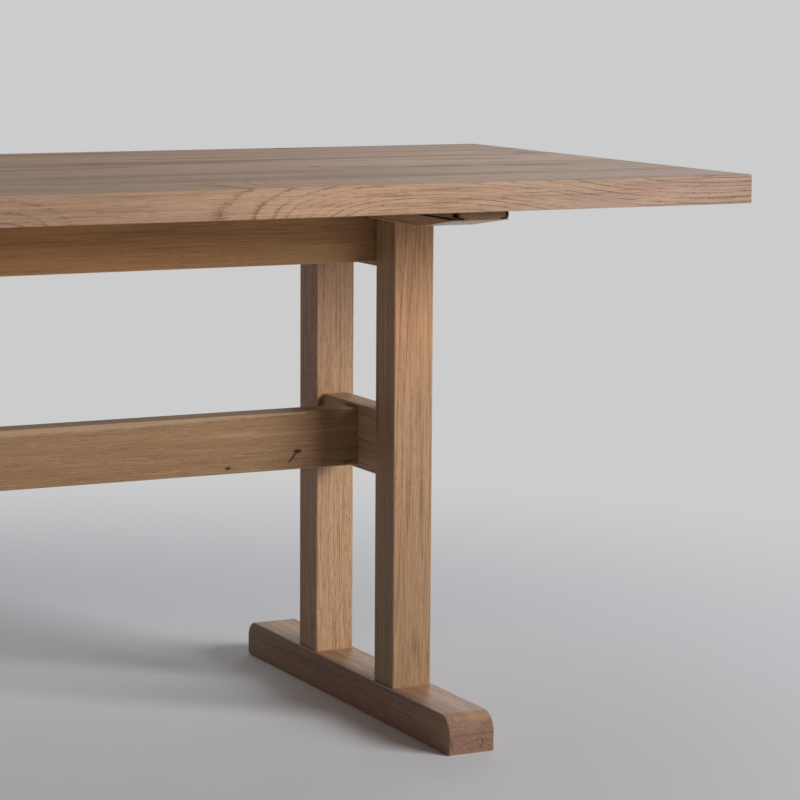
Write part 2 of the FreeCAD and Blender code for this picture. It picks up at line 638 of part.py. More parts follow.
def dowel_places():
    """Y and Z of the dowels, above and below the bolt of each upper rail."""
    return [(y, f"{level} + {offset}") for y, level in rail_bolt_places() for offset in RAIL_DOWELS]


def connector_bolts(side):
    """Flat-headed bolts through the cross rails; the heads have a hexagon socket."""
    bolts = []
    outer_face = "Sizes.cross_thickness / 2"
    for k, (y, z) in enumerate(bolt_places()):
        name = f"{side}_bolt_{k}"
        length = "Sizes.cross_thickness + Sizes.bolt_reach"
        shank = cylinder(f"{name}_shank", "Sizes.bolt_diameter", length,
                         (f"-{outer_face} - Sizes.bolt_reach", y, z), "X")
        head = cylinder(f"{name}_head", "Sizes.bolt_head_diameter", "Sizes.bolt_head_height",
                        (outer_face, y, z), "X")
        socket = doc.addObject("Part::Prism", f"{name}_socket")
        socket.Polygon = 6
        socket.Placement = FreeCAD.Placement(FreeCAD.Vector(0, 0, 0), FreeCAD.Rotation(Y_AXIS, 90))
        socket.setExpression("Circumradius", "Sizes.bolt_socket / sqrt(3)")
        socket.setExpression("Height", "2 * Sizes.bolt_head_height")
        socket.setExpression("Placement.Base.x", outer_face)
        socket.setExpression("Placement.Base.y", y)
        socket.setExpression("Placement.Base.z", z)
        bolts.append(cut(name, fuse(f"{name}_blank", shank, head), socket))
    bundle = group(f"{side}_connector_bolts", bolts)
    place(bundle, x=f"{SIDES[side]} * {TRESTLE_X}", turned=side == "left")
    return bundle


def barrel_nuts(side):
    """Steel cross dowels in the long rails, each tapped for its bolt."""
    nuts = []
    nut_x = "-(Sizes.cross_thickness / 2 + Sizes.nut_inset)"
    for k, (y, z) in enumerate(bolt_places()):
        name = f"{side}_nut_{k}"
        barrel = cylinder(f"{name}_barrel", "Sizes.nut_diameter", "Sizes.nut_length",
                          (nut_x, f"{y} - Sizes.nut_length / 2", z), "Y")
        tapping = cylinder(f"{name}_tapping", "Sizes.bolt_diameter + 2 * Sizes.thread_gap",
                           "2 * Sizes.nut_diameter", (f"{nut_x} - Sizes.nut_diameter", y, z), "X")
        nuts.append(cut(name, barrel, tapping))
    bundle = group(f"{side}_barrel_nuts", nuts)
    place(bundle, x=f"{SIDES[side]} * {TRESTLE_X}", turned=side == "left")
    return bundle


def alignment_dowels(side):
    """Two dowels beside the bolt of each upper rail stop the rail from turning."""
    start = "-Sizes.cross_thickness / 2 - (Sizes.dowel_length - Sizes.dowel_in_cross)"
    dowels = [cylinder(f"{side}_dowel_{k}", "Sizes.dowel_diameter", "Sizes.dowel_length", (start, y, z), "X")
              for k, (y, z) in enumerate(dowel_places())]
    bundle = group(f"{side}_alignment_dowels", dowels)
    place(bundle, x=f"{SIDES[side]} * {TRESTLE_X}", turned=side == "left")
    return bundle


def channel_screws(side):
    """Pan-headed screws up through the channel's slots, one into each board."""
    screws = []
    web_bottom = f"({TOP_UNDERSIDE} - Sizes.channel_wall)"
    for k, y in enumerate(screw_places()):
        name = f"{side}_channel_screw_{k}"
        shank = cylinder(f"{name}_shank", "Sizes.screw_diameter", "Sizes.channel_wall + Sizes.screw_reach",
                         ("0", y, web_bottom))
        head = cylinder(f"{name}_head", "Sizes.screw_head_diameter", "Sizes.screw_head_height",
                        ("0", y, f"{web_bottom} - Sizes.screw_head_height"))
        screws.append(fuse(name, shank, head))
    bundle = group(f"{side}_channel_screws", screws)
    place(bundle, x=f"{SIDES[side]} * {TRESTLE_X}")
    return bundle


def locking_screws(side):
    """Socket-headed screws from under the bearer into the tapped web of the channel."""
    screws = []
    seat = f"({LEG_SHOULDER} + Sizes.lock_recess)"
    for k, (x, y) in enumerate(lock_places()):
        name = f"{side}_locking_screw_{k}"
        shank = cylinder(f"{name}_shank", "Sizes.lock_diameter", f"{TOP_UNDERSIDE} - Sizes.end_gap - {seat}",
                         (x, y, seat))
        head = cylinder(f"{name}_head", "Sizes.lock_head_diameter", "Sizes.lock_head_height",
                        (x, y, f"{seat} - Sizes.lock_head_height"))
        screws.append(fuse(name, shank, head))
    bundle = group(f"{side}_locking_screws", screws)
    place(bundle, x=f"{SIDES[side]} * {TRESTLE_X}")
    return bundle


# ---------------------------------------------------------------- build, check, write

sizes = make_sheet()


def size_of(alias):
    """A driving size as a plain number, for the tests that pick out edges."""
    return float(sizes.get(alias))


def build_trestle(side):
    (_, lower_level, lower_height), (_, upper_level, upper_height) = cross_rail_levels()
    pieces = [foot_sole(side), foot_cap(side)]
    pieces += [leg(side, row) for row in ROWS]
    pieces.append(cross_rail(side, "lower", lower_level, lower_height, stretcher_bolt_places(), []))
    pieces.append(cross_rail(side, "upper", upper_level, upper_height, rail_bolt_places(), dowel_places()))
    pieces += [top_bearer(side), slide_batten(side), steel_channel(side)]
    pieces += [connector_bolts(side), barrel_nuts(side), alignment_dowels(side)]
    pieces += [channel_screws(side), locking_screws(side)]
    return pieces


def build_table():
    pieces = [tabletop_board(index) for index in range(BOARD_COUNT)]
    for side in SIDES:
        pieces += build_trestle(side)
    pieces.append(long_rail("lower_stretcher", "Sizes.stretcher_thickness", "Sizes.stretcher_height",
                            "Sizes.stretcher_level", STRETCHER_BOLTS, []))
    for row, sign in ROWS.items():
        pieces.append(long_rail(f"{row}_upper_rail", "Sizes.rail_thickness", "Sizes.rail_height", RAIL_LEVEL,
                                RAIL_BOLTS, RAIL_DOWELS, notched=True, y=f"{sign} * {RAIL_Y}",
                                turned=row == "rear"))
    doc.recompute()
    return pieces


def check_document():
    """Stop on any failed object, and on any pocket that removes nothing."""
    for item in doc.Objects:
        if "Invalid" in item.State or "Error" in item.State:
            raise RuntimeError(f"{item.Label} failed: {item.State}")
        if item.TypeId == "PartDesign::Pocket":
            removed = item.BaseFeature.Shape.Volume - item.Shape.Volume
            if removed < 1.0:
                raise RuntimeError(f"{item.Label} cuts nothing")


def write_pieces(pieces):
    os.makedirs("parts", exist_ok=True)
    for piece in pieces:
        if piece.Shape.isNull() or not piece.Shape.isValid():
            raise RuntimeError(f"{piece.Label} has no valid shape")
        piece.Shape.exportStep(os.path.join("parts", f"{piece.Label}.step"))
    print(f"{len(pieces)} nodes, {sum(len(piece.Shape.Solids) for piece in pieces)} solids")


table = build_table()
check_document()
write_pieces(table)
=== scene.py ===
import math

import bmesh
import bpy
from mathutils import Matrix, Vector


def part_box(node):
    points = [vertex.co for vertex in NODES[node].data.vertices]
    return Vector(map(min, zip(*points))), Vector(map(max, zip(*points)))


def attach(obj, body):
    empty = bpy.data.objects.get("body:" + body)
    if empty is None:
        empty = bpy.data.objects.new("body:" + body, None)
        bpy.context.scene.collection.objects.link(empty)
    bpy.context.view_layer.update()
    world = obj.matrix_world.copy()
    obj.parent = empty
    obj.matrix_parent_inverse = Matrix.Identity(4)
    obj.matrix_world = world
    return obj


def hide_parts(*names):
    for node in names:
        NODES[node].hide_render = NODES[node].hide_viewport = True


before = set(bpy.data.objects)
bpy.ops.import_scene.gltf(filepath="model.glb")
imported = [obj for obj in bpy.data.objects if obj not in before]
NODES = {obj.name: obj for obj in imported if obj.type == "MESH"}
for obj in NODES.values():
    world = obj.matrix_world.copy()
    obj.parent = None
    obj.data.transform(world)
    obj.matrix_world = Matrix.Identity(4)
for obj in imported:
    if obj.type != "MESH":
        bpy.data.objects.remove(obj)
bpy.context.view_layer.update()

# An oak trestle table with an oiled finish, in metres, +Z up, front towards -Y. The woodwork and
# the steel channels are the fixed frame's own pieces, and the screws, nuts and dowels are
# modelled here. Each piece of wood is cut from its own log: its rings, pores and rays are one
# solid pattern, so faces, edges and end grain agree.

MM = 0.001


def srgb(red, green, blue):
    """A colour given as 0 to 255 on a screen, as the linear value that a shader takes."""
    def linear(value):
        share = value / 255
        return share / 12.92 if share <= 0.04045 else ((share + 0.055) / 1.055) ** 2.4
    return (linear(red), linear(green), linear(blue), 1.0)


def middle(node):
    low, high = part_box(node)
    return (Vector(low) + Vector(high)) / 2


# ---------------------------------------------------------------- node trees

# A mix node's sockets for colours come after those for numbers and vectors.
MIX_FIRST, MIX_SECOND, MIX_RESULT = 6, 7, 2


class Recipe:
    """Adds nodes to one tree. Each call takes sockets or plain values and returns a socket."""

    def __init__(self, tree):
        self.tree = tree

    def node(self, kind, **settings):
        made = self.tree.nodes.new(kind)
        for name, value in settings.items():
            setattr(made, name, value)
        return made

    def feed(self, socket, value):
        if isinstance(value, bpy.types.NodeSocket):
            self.tree.links.new(value, socket)
        else:
            socket.default_value = value

    def fill(self, made, values):
        for socket, value in zip(made.inputs, values):
            self.feed(socket, value)
        return made.outputs[0]

    def math(self, operation, *values):
        return self.fill(self.node("ShaderNodeMath", operation=operation), values)

    def total(self, first, *others):
        for other in others:
            first = self.math("ADD", first, other)
        return first

    def product(self, first, *others):
        for other in others:
            first = self.math("MULTIPLY", first, other)
        return first

    def vector(self, operation, *values):
        made = self.node("ShaderNodeVectorMath", operation=operation)
        self.fill(made, values)
        return made.outputs["Value" if operation in ("LENGTH", "DOT_PRODUCT") else "Vector"]

    def split(self, vector):
        made = self.node("ShaderNodeSeparateXYZ")
        self.feed(made.inputs[0], vector)
        return made.outputs[0], made.outputs[1], made.outputs[2]

    def join(self, x, y, z):
        return self.fill(self.node("ShaderNodeCombineXYZ"), (x, y, z))

    def scaled(self, vector, x, y, z):
        return self.vector("MULTIPLY", vector, (x, y, z))

    def noise(self, place, detail=0.0, roughness=0.5):
        made = self.node("ShaderNodeTexNoise", noise_dimensions="3D")
        self.feed(made.inputs["Vector"], place)
        made.inputs["Scale"].default_value = 1.0
        made.inputs["Detail"].default_value = detail
        made.inputs["Roughness"].default_value = roughness
        return made.outputs["Fac"]

    def grain_noise(self, place, along, across, detail=0.0, roughness=0.5):
        """Noise with so many waves to a metre along the grain, and so many across it."""
        return self.noise(self.scaled(place, along, across, across), detail, roughness)

    def noise_along(self, distance, waves, output="Fac"):
        """Noise that depends on one distance only, with so many waves to a metre."""
        made = self.node("ShaderNodeTexNoise", noise_dimensions="1D")
        self.feed(made.inputs["W"], self.math("MULTIPLY", distance, waves))
        made.inputs["Scale"].default_value = 1.0
        made.inputs["Detail"].default_value = 1.0
        return made.outputs[output]

    def centred(self, value, reach):
        """Noise from 0 to 1 turned into a shift of about reach either way."""
        return self.math("MULTIPLY", self.math("SUBTRACT", value, 0.5), 2.0 * reach)

    def between(self, value, low, high, start=0.0, end=1.0):
        """A smooth change from start to end while value goes from low to high."""
        made = self.node("ShaderNodeMapRange", interpolation_type="SMOOTHSTEP")
        return self.fill(made, (value, low, high, start, end))

    def mix(self, factor, first, second, blend="MIX"):
        made = self.node("ShaderNodeMix", data_type="RGBA", blend_type=blend)
        self.feed(made.inputs["Factor"], factor)
        self.feed(made.inputs[MIX_FIRST], first)
        self.feed(made.inputs[MIX_SECOND], second)
        return made.outputs[MIX_RESULT]

    def bumped(self, height, strength, reach):
        """The normal of a surface with this height, where a height of 1 stands for reach."""
        made = self.node("ShaderNodeBump")
        made.inputs["Strength"].default_value = strength
        made.inputs["Distance"].default_value = reach
        self.feed(made.inputs["Height"], height)
        return made.outputs["Normal"]

    def cover(self, settings):
        """Give the material a surface with these settings."""
        surface = self.node("ShaderNodeBsdfPrincipled")
        for label, value in settings.items():
            self.feed(surface.inputs[label], value)
        self.feed(self.node("ShaderNodeOutputMaterial").inputs["Surface"], surface.outputs[0])


def new_group(name, inputs, outputs):
    """An empty node group. Returns its recipe, its input sockets and its output node."""
    tree = bpy.data.node_groups.new(name, "ShaderNodeTree")
    for label, kind in inputs:
        tree.interface.new_socket(label, in_out="INPUT", socket_type=f"NodeSocket{kind}")
    for label, kind in outputs:
        tree.interface.new_socket(label, in_out="OUTPUT", socket_type=f"NodeSocket{kind}")
    recipe = Recipe(tree)
    given = recipe.node("NodeGroupInput").outputs
    return recipe, given, recipe.node("NodeGroupOutput")


def new_material(name):
    """An empty material and its recipe."""
    material = bpy.data.materials.new(name)
    material.use_nodes = True
    material.node_tree.nodes.clear()
    return material, Recipe(material.node_tree)


def dress(piece, material):
    piece.data.materials.clear()
    piece.data.materials.append(material)


# ---------------------------------------------------------------- oak

WHITE = (1.0, 1.0, 1.0, 1.0)

# What the markings turn the wood towards, and what the tints multiply it by.
PORE = srgb(82, 54, 36)
TICK = srgb(92, 62, 44)
FLECK = srgb(214, 182, 140)
FLAME = srgb(208, 172, 134)
PALE_STREAK = srgb(222, 198, 172)
KNOT = srgb(58, 36, 24)
# Arrises are paler, partly from wear and partly as a painted highlight.
ARRIS_WEAR_AND_HIGHLIGHT = srgb(222, 190, 160)
END_GRAIN_TINT = srgb(192, 190, 192)
ROSY_TINT = srgb(255, 250, 251)
GREENISH_TINT = srgb(250, 252, 246)

# How far apart in its log a piece lies from one whose seed is 1 less, in metres.
SEED_STEP = 11.7
# Rays are laid out round the pith at this radius, in metres.
RAY_RADIUS = 0.070
# How far the rings open out on the plain stretch before an arch, as a share of the usual.
PLAIN = 0.02
# Distances along the grain count by this share in knots and swellings, which are drawn out.
DRAWN_OUT = 0.45
# The order of X, Y and Z that puts the grain first, by the axis that it follows.
GRAIN_FIRST = {"X": (0, 1, 2), "Y": (1, 0, 2), "Z": (2, 0, 1)}


def oak_group():
    """Oak as a solid pattern: X of Along is the grain, and the pith is the line Y = Z = 0."""
    r, given, result = new_group(
        "oak",
        [("Along", "Vector"), ("Facing", "Vector"), ("Seed", "Float"), ("Ring width", "Float"),
         ("Ring shift", "Float"), ("Spread", "Float"), ("Wander", "Float"), ("Knot", "Float"),
         ("Pale", "Float"), ("Shade", "Color"), ("Light", "Color"), ("Dark", "Color"),
         ("Figure", "Float"), ("Banding", "Float"), ("Flecks", "Float"), ("Pores", "Float"),
         ("Dullness", "Float")],
        [("Colour", "Color"), ("Roughness", "Float"), ("Height", "Float")])
    along, across, up = r.split(given["Along"])
    face_along, face_across, face_up = r.split(given["Facing"])
    seeded = r.math("ADD", along, r.math("MULTIPLY", given["Seed"], SEED_STEP))

    # The pith wanders slowly, and the rings waver.
    drift = r.node("ShaderNodeSeparateColor")
    r.feed(drift.inputs[0], r.noise_along(seeded, 1.6, output="Color"))
    wander = r.math("MULTIPLY", given["Wander"], 2.0)
    across = r.math("ADD", across, r.product(r.math("SUBTRACT", drift.outputs[0], 0.5), wander))
    up = r.math("ADD", up, r.product(r.math("SUBTRACT", drift.outputs[1], 0.5), wander))
    place = r.join(seeded, across, up)
    waver = r.centred(r.grain_noise(place, along=5.0, across=22.0, detail=1.0), 2.0 * MM)
    ragged = r.centred(r.grain_noise(place, along=210.0, across=1000.0, detail=1.0), 0.9 * MM)
    radius = r.math("SQRT", r.math("ADD", r.math("POWER", across, 2.0), r.math("POWER", up, 2.0)))
    opened = r.product(r.math("ADD", radius, waver), given["Spread"])
    distance = r.total(opened, ragged, given["Ring shift"])

    # Each ring starts with a band of open pores and fades into dense wood.
    years = r.math("DIVIDE", distance, given["Ring width"])
    years = r.math("ADD", years, r.centred(r.noise_along(distance, 70.0), 0.8))
    season = r.math("FRACT", years)
    year = r.node("ShaderNodeTexWhiteNoise", noise_dimensions="1D")
    r.feed(year.inputs["W"], r.math("ADD", r.math("FLOOR", years), given["Seed"]))
    strength = r.between(year.outputs["Value"], 0.0, 1.0, start=0.3, end=1.0)
    opening = r.between(season, 0.0, 0.24, start=1.0, end=0.0)
    closing = r.between(season, 0.94, 1.0)
    gaps = r.grain_noise(place, along=16.0, across=70.0, detail=1.0)
    broken = r.between(gaps, 0.30, 0.60, start=0.45, end=1.0)
    early = r.product(r.math("MAXIMUM", opening, closing), strength, broken, given["Figure"])

    # Pores are short dark dashes along the grain. Rays are thin plates that point at the pith.
    dashes = r.between(r.grain_noise(place, along=62.0, across=850.0), 0.58, 0.70)
    pores = r.product(dashes, r.between(early, 0.0, 0.6, start=0.42, end=1.0))
    turn = r.math("MULTIPLY", r.math("ARCTAN2", up, across), RAY_RADIUS)
    plates = r.join(r.math("MULTIPLY", seeded, 60.0), r.math("MULTIPLY", turn, 1300.0),
                    r.math("MULTIPLY", radius, 520.0))
    rays = r.between(r.noise(plates), 0.66, 0.76)
    sideways = r.math("SUBTRACT", r.product(across, face_up), r.product(up, face_across))
    quartered = r.between(r.math("DIVIDE", r.math("ABSOLUTE", sideways), radius), 0.75, 0.97)
    flecks = r.product(rays, quartered, given["Flecks"])
    ticks = r.product(rays, r.math("SUBTRACT", 1.0, quartered))

    # Bands, fibres, pale flames and faint clouds.
    end_grain = r.between(r.math("ABSOLUTE", face_along), 0.55, 0.9)
    band = r.grain_noise(place, along=1.4, across=32.0, detail=3.0, roughness=0.6)
    ring_band = r.noise_along(distance, 140.0)
    band = r.math("ADD", band, r.product(end_grain, 0.6, r.math("SUBTRACT", ring_band, band)))
    fibre = r.grain_noise(place, along=8.0, across=420.0, detail=2.0, roughness=0.6)
    flame = r.between(r.grain_noise(place, along=6.0, across=120.0, detail=2.0), 0.55, 0.75)
    cloud = r.grain_noise(place, along=8.0, across=10.0, detail=2.0)
    hue = r.grain_noise(place, along=2.2, across=14.0, detail=1.0)

    # The tone runs from dense wood to open wood, and the markings go over it one by one.
    banded = r.product(r.centred(band, 1.0), given["Banding"])
    fibre_depth = r.math("ADD", 0.45, r.product(given["Pores"], 1.1))
    tone = r.total(r.product(early, 1.15), banded, r.product(r.centred(fibre, 1.0), fibre_depth),
                   r.centred(cloud, 0.14))
    colour = r.mix(r.between(tone, -0.4, 1.05), given["Light"], given["Dark"])
    colour = r.mix(r.product(flame, 0.20), colour, FLAME)
    tint = r.mix(r.between(hue, 0.35, 0.65), ROSY_TINT, GREENISH_TINT)
    colour = r.mix(1.0, colour, tint, "MULTIPLY")
    colour = r.mix(r.product(pores, given["Pores"]), colour, PORE)
    tick_depth = r.between(end_grain, 0.0, 1.0, start=0.24, end=0.6)
    colour = r.mix(r.product(ticks, tick_depth), colour, TICK)
    colour = r.mix(r.product(flecks, 0.20), colour, FLECK)
    colour = r.mix(end_grain, colour, END_GRAIN_TINT, "MULTIPLY")
    colour = r.mix(given["Pale"], colour, PALE_STREAK)
    colour = r.mix(given["Knot"], colour, KNOT)
    # Arrises turn paler: partly wear, partly a painted highlight along the eased edges.
    corner = r.math("MINIMUM", r.math("ABSOLUTE", face_across), r.math("ABSOLUTE", face_up))
    arris = r.between(corner, 0.3, 0.6)
    colour = r.mix(r.product(arris, 0.25), colour, ARRIS_WEAR_AND_HIGHLIGHT)
    colour = r.mix(1.0, colour, given["Shade"], "MULTIPLY")

    # Open grain is duller and lower than dense wood.
    roughness = r.total(given["Dullness"], r.product(pores, 0.16), r.product(early, 0.06),
                        r.product(flecks, -0.12), r.product(arris, -0.06),
                        r.centred(band, 0.07), r.product(end_grain, 0.22),
                        r.product(given["Knot"], 0.3))
    height = r.total(r.product(pores, -0.8), r.product(early, -0.25), r.centred(fibre, 0.18),
                     r.product(given["Knot"], -1.2))
    r.feed(result.inputs["Colour"], colour)
    r.feed(result.inputs["Roughness"], roughness)
    r.feed(result.inputs["Height"], height)
    return r.tree


def streak_group():
    """A dark streak between two places, thin at both ends."""
    r, given, result = new_group(
        "streak",
        [("Place", "Vector"), ("Start", "Vector"), ("End", "Vector"), ("Radius", "Float")],
        [("Dark", "Float")])
    span = r.vector("SUBTRACT", given["End"], given["Start"])
    offset = r.vector("SUBTRACT", given["Place"], given["Start"])
    reached = r.vector("DOT_PRODUCT", offset, span)
    share = r.math("DIVIDE", reached, r.vector("DOT_PRODUCT", span, span))
    share = r.math("MINIMUM", r.math("MAXIMUM", share, 0.0), 1.0)
    nearest = r.node("ShaderNodeVectorMath", operation="SCALE")
    r.feed(nearest.inputs[0], span)
    r.feed(nearest.inputs["Scale"], share)
    aside = r.vector("LENGTH", r.vector("SUBTRACT", offset, nearest.outputs[0]))
    from_middle = r.math("ABSOLUTE", r.math("SUBTRACT", share, 0.5))
    reach = r.product(given["Radius"], r.between(from_middle, 0.15, 0.5, start=1.0, end=0.25))
    rough = r.centred(r.grain_noise(given["Place"], along=60.0, across=500.0, detail=2.0), 0.8)
    away = r.math("ADD", r.math("DIVIDE", aside, reach), rough)
    r.feed(result.inputs["Dark"], r.between(away, 0.3, 1.2, start=1.0, end=0.0))
    return r.tree


STREAK = streak_group()
OAK = oak_group()


def grain_frame(recipe, vector, run):
    """Reorder a vector so that X is along the grain and Y and Z are across it."""
    parts = recipe.split(vector)
    return recipe.join(*(parts[axis] for axis in GRAIN_FIRST[run]))


def in_grain_frame(point, run):
    return Vector(point[axis] for axis in GRAIN_FIRST[run])


def arches(recipe, along, heart, crown, length, height, stretch, level, lean, base):
    """Rings that rise to one cathedral arch: returns how they shift and how far they open out.

    Before the crown the arch is length long and ends on a plain stretch, where the rings lie
    almost flat. Beyond the crown it is drawn out by stretch. Rings of the radius level, seen
    from the pith, stay in place where the others open out. Above base the arch leans over.
    The crown's place along the grain and length are in metres, height, level and base in mm.
    """
    run, _, up = recipe.split(along)
    over = recipe.math("MAXIMUM", recipe.math("SUBTRACT", up, base * MM), 0.0)
    run = recipe.math("SUBTRACT", run, recipe.product(over, over, lean))
    past = recipe.product(recipe.math("SUBTRACT", run, crown - heart.x), math.pi / length)
    near = recipe.math("MAXIMUM", recipe.math("MINIMUM", past, 0.0), -math.pi)
    far = recipe.product(recipe.math("MAXIMUM", past, 0.0), 1.0 / stretch)
    shift = recipe.product(recipe.math("COSINE", recipe.math("ADD", near, far)), -height * MM)
    rise = recipe.total(recipe.product(recipe.math("COSINE", near), 0.5), 0.5)
    spread = recipe.total(recipe.product(recipe.math("POWER", rise, 1.5), 1.0 - PLAIN), PLAIN)
    held = recipe.product(recipe.math("SUBTRACT", 1.0, spread), level * MM)
    return recipe.math("ADD", shift, held), spread


def drawn_out_distance(recipe, offset):
    return recipe.vector("LENGTH", recipe.scaled(offset, DRAWN_OUT, 1.0, 1.0))


def knot(recipe, along, centre, radius):
    """A small knot: returns how far it pushes the rings aside and how dark it is."""
    offset = recipe.vector("SUBTRACT", along, tuple(centre))
    share = recipe.product(drawn_out_distance(recipe, offset), 1.0 / radius)
    push = recipe.product(recipe.math("EXPONENT", recipe.product(share, -0.55)), 2.2 * radius)
    bark = recipe.grain_noise(offset, along=220.0, across=700.0, detail=2.0)
    away = recipe.math("ADD", share, recipe.centred(bark, 0.55))
    return push, recipe.between(away, 0.55, 1.25, start=1.0, end=0.0)


def swell(recipe, along, centre, reach, height):
    """A gentle swelling of the rings, which a face cuts as a nest of ovals."""
    offset = recipe.vector("SUBTRACT", along, tuple(centre))
    share = recipe.product(drawn_out_distance(recipe, offset), 1.0 / reach)
    fall = recipe.product(recipe.math("POWER", share, 2.0), -1.0)
    return recipe.product(recipe.math("EXPONENT", fall), height)


def oak(node, run, pith, ring=3.0, seed=0.0, light=(188, 148, 114), dark=(134, 96, 68),
        wander=6.0, slope=(0.0, 0.0), figure=0.85, banding=0.34, flecks=1.0, pores=0.45,
        dullness=0.56, knots=(), swells=(), streaks=(), pale=(), patches=(), arch=None,
        calm=None, sides=(255, 255, 255), piece=None):
    """Give a node oak of its own, or give it to the piece that stands for the node.

    run is the axis that the grain follows, and pith is where the heart of the log runs, in mm
    across and up from the middle of the node. The heart drifts by slope along the grain and
    wanders by so many mm. ring is the width of a year in mm, light and dark are the colours of
    dense and open wood, and dullness is the roughness before the grain adds its own.

    A knot is a place and a radius, a swell a place, a reach and a height, and a streak its two
    ends, a radius and how dark it is, as is a pale one. Their places are in metres and their
    sizes in mm. A patch is a change of tone: its middle and half its length along the grain in
    metres, and the colour that it multiplies the wood by. Some patches are painted shade and some
    painted light. Calm is where the rings don't show, given as a patch is, with a share. The
    faces on either side of the grain get painted shade: sides is the colour that multiplies them.
    """
    material, r = new_material(f"oak_{node}")
    where = r.node("ShaderNodeTexCoord").outputs
    heart = in_grain_frame(middle(node), run) + Vector((0.0, pith[0] * MM, pith[1] * MM))
    along = r.vector("SUBTRACT", grain_frame(r, where["Object"], run), tuple(heart))
    distance, _, _ = r.split(along)
    drift = r.join(0.0, r.product(distance, slope[0]), r.product(distance, slope[1]))
    along = r.vector("SUBTRACT", along, drift)

    def from_heart(point):
        return in_grain_frame(point, run) - heart

    def away_from(centre):
        return r.math("ABSOLUTE", r.math("SUBTRACT", distance, centre - heart.x))

    def mark(start, end, radius, depth):
        streak = r.node("ShaderNodeGroup", node_tree=STREAK)
        ends = (tuple(from_heart(start)), tuple(from_heart(end)))
        return r.product(r.fill(streak, (along, *ends, radius * MM)), depth)

    shift, spread, darkness, paleness, tint = 0.0, 1.0, 0.0, 0.0, WHITE
    if calm:
        centre, half, share = calm
        shown = r.between(away_from(centre), 0.6 * half, half, start=1.0 - share, end=1.0)
        figure = r.product(shown, figure)
    if arch:
        shift, spread = arches(r, along, heart, **arch)
    for centre, reach, height in swells:
        rise = swell(r, along, from_heart(centre), reach * MM, height * MM)
        shift = r.math("ADD", shift, rise)
    for centre, radius in knots:
        push, dark_spot = knot(r, along, from_heart(centre), radius * MM)
        shift = r.math("ADD", shift, push)
        darkness = r.math("MAXIMUM", darkness, dark_spot)
    for streak in streaks:
        darkness = r.math("MAXIMUM", darkness, mark(*streak))
    for streak in pale:
        paleness = r.math("MAXIMUM", paleness, mark(*streak))
    for centre, half, change in patches:
        there = r.between(away_from(centre), 0.25 * half, half, start=1.0, end=0.0)
        tint = r.mix(1.0, tint, r.mix(there, WHITE, srgb(*change)), "MULTIPLY")
    # Painted shade: the faces on either side of the grain are multiplied by sides.
    facing = grain_frame(r, where["Normal"], run)
    _, face_across, _ = r.split(facing)
    aside = r.math("ABSOLUTE", face_across)
    tint = r.mix(1.0, tint, r.mix(aside, WHITE, srgb(*sides)), "MULTIPLY")

    wood = r.node("ShaderNodeGroup", node_tree=OAK)
    settings = {
        "Along": along, "Facing": facing, "Seed": seed, "Ring width": ring * MM,
        "Ring shift": shift, "Spread": spread, "Wander": wander * MM, "Knot": darkness,
        "Pale": paleness, "Shade": tint, "Light": srgb(*light), "Dark": srgb(*dark),
        "Figure": figure, "Banding": banding, "Flecks": flecks, "Pores": pores,
        "Dullness": dullness,
    }
    for label, value in settings.items():
        r.feed(wood.inputs[label], value)
    r.cover({
        "Base Color": wood.outputs["Colour"],
        "Roughness": wood.outputs["Roughness"],
        "Normal": r.bumped(wood.outputs["Height"], strength=0.55, reach=0.25 * MM),
        "IOR": 1.46,
        "Specular IOR Level": 0.42,
    })
    dress(piece or NODES[node], material)


def shade(colour, factor):
    return tuple(value * factor for value in colour)


